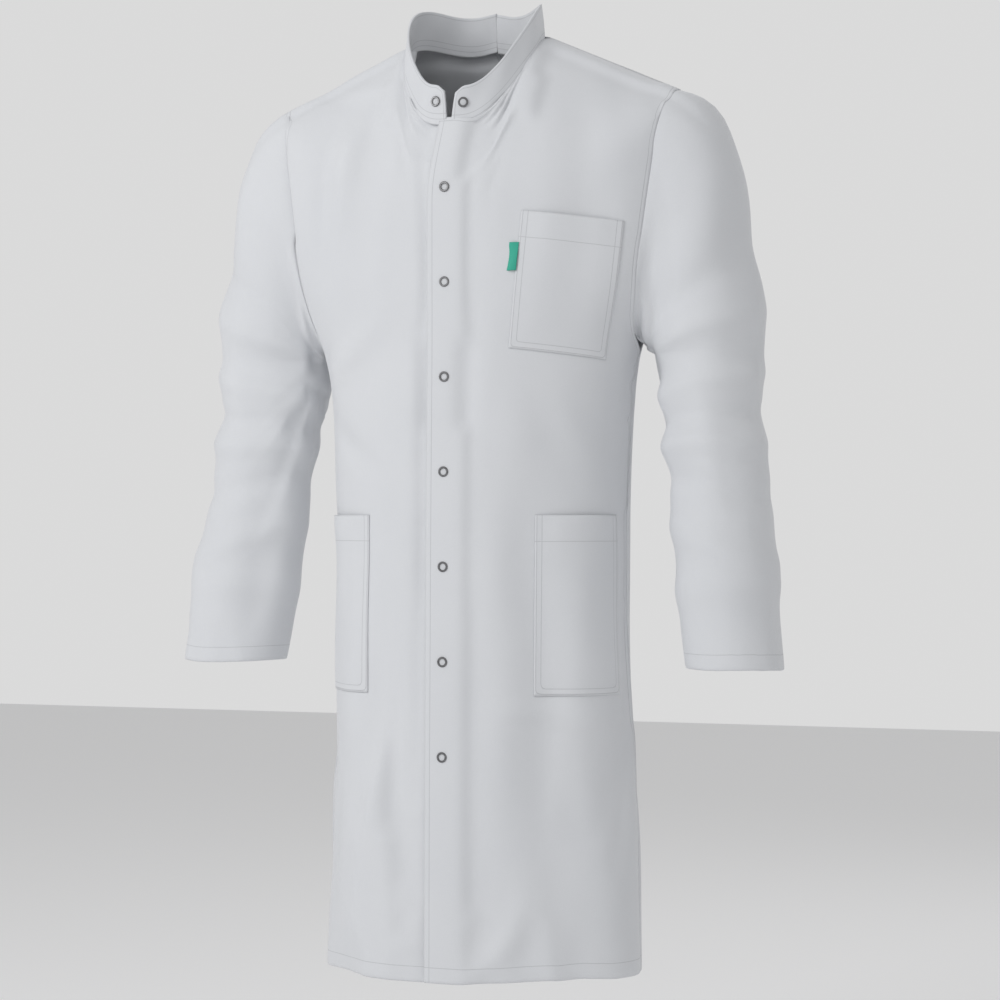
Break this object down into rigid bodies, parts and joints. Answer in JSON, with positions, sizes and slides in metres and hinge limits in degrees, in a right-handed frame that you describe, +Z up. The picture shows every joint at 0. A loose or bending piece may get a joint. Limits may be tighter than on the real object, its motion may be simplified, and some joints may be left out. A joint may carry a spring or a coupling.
{
  "type": "lab coat",
  "caption": "Knee-length white lab coat with a stand collar, long sleeves, a snap-fastened front, a chest pocket and hip pockets.",
  "frame": {"origin": "point on the mid-plane between the two neck-side points of the shoulders, where the coat hangs", "axes": "+X towards the wearer's left, front faces -Y, +Z up"},
  "size_m": [0.706, 0.254, 1.0629],
  "materials": {
    "coat_cloth": "plain-woven white polyester and cotton, matt",
    "facing": "the same white cloth, turned in",
    "collar_lining": "the same white cloth, inside of the band",
    "pocket_tab": "green woven ribbon, satin",
    "snap_metal": "dark nickel, satin"
  },
  "bodies": {
    "coat_body": {"left_back": "coat_cloth", "right_back": "coat_cloth", "left_front_side": "coat_cloth", "right_front_side": "coat_cloth", "collar_back": "coat_cloth", "collar_lining_back": "collar_lining", "left_sleeve_upper": "coat_cloth", "right_sleeve_upper": "coat_cloth", "chest_pocket": "coat_cloth", "left_hip_pocket": "coat_cloth", "right_hip_pocket": "coat_cloth", "pocket_tab": "pocket_tab"},
    "left_front": {"left_front_edge": "coat_cloth", "left_facing": "facing", "collar_left_end": "coat_cloth", "collar_lining_left_end": "collar_lining", "snap_rings": "snap_metal", "snap_sockets": "snap_metal", "collar_snap_left": "snap_metal"},
    "right_front": {"right_front_edge": "coat_cloth", "right_facing": "facing", "collar_right_end": "coat_cloth", "collar_lining_right_end": "collar_lining", "snap_studs": "snap_metal", "snap_back_rings": "snap_metal", "collar_snap_right": "snap_metal"},
    "left_forearm": {"left_sleeve_lower": "coat_cloth"},
    "right_forearm": {"right_sleeve_lower": "coat_cloth"}
  },
  "joints": [
    {"name": "left_front_open", "type": "hinge", "parent": "coat_body", "child": "left_front", "pos_m": [0.055, -0.1165, -0.06], "axis": [-0.0364, 0, 0.9993], "range_deg": [0, 60]},
    {"name": "right_front_open", "type": "hinge", "parent": "coat_body", "child": "right_front", "pos_m": [-0.055, -0.1165, -0.06], "axis": [-0.0364, 0, -0.9993], "range_deg": [0, 24]},
    {"name": "left_elbow_bend", "type": "hinge", "parent": "coat_body", "child": "left_forearm", "pos_m": [0.261, -0.0496, -0.4147], "axis": [-1, 0, 0], "range_deg": [0, 90]},
    {"name": "right_elbow_bend", "type": "hinge", "parent": "coat_body", "child": "right_forearm", "pos_m": [-0.261, -0.0496, -0.4147], "axis": [-1, 0, 0], "range_deg": [0, 90]}
  ],
  "couplings": [
    {"joint": "right_front_open", "follows": "left_front_open", "ratio": 0.4}
  ]
}
